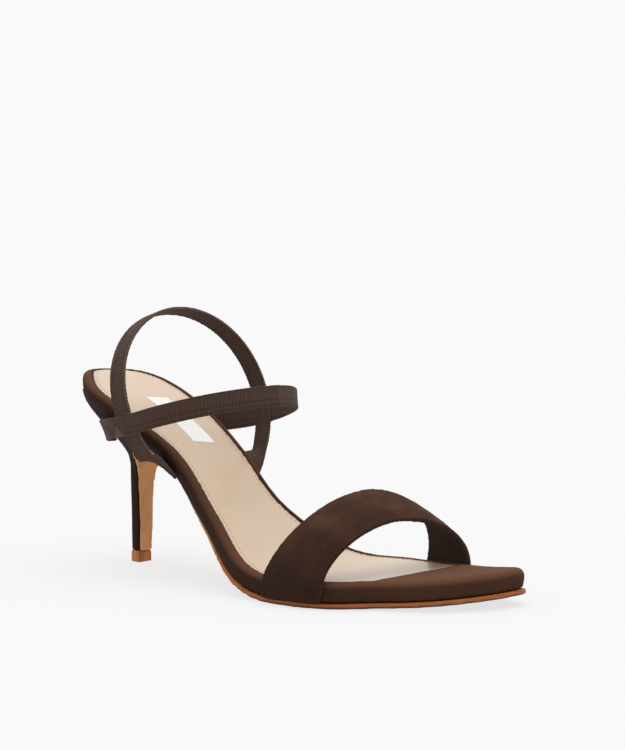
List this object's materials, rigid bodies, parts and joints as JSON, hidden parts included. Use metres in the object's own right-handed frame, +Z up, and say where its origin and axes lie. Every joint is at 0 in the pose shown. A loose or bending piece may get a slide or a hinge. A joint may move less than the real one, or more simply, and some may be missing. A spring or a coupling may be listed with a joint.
{
  "type": "strappy heeled sandal",
  "caption": "Dark brown strappy heeled sandal, right foot: suede toe strap, two crossing elastic ankle straps, beige insole, wrapped slim heel and tan leather outsole, for a foot of about EU 38.",
  "frame": {"origin": "middle of the ground under the sandal, which stands on its heel tip and forefoot", "axes": "+X from the heel to the toe, +Y towards the inner side of the foot, +Z up"},
  "size_m": [0.2252, 0.0862, 0.1142],
  "materials": {
    "nubuck": "fine brushed nubuck, dark brown",
    "lining_leather": "smooth beige lining leather",
    "sole_leather": "burnished tan sole leather",
    "heel_tip": "tan satin heel tip",
    "suede": "napped dark brown suede",
    "elastic": "ribbed dark brown elastic"
  },
  "bodies": {
    "root": {"footbed": "nubuck", "sock": "lining_leather", "outsole": "sole_leather", "heel": "nubuck", "top_piece": "heel_tip", "vamp_strap": "suede", "ankle_straps": "elastic"}
  },
  "joints": []
}
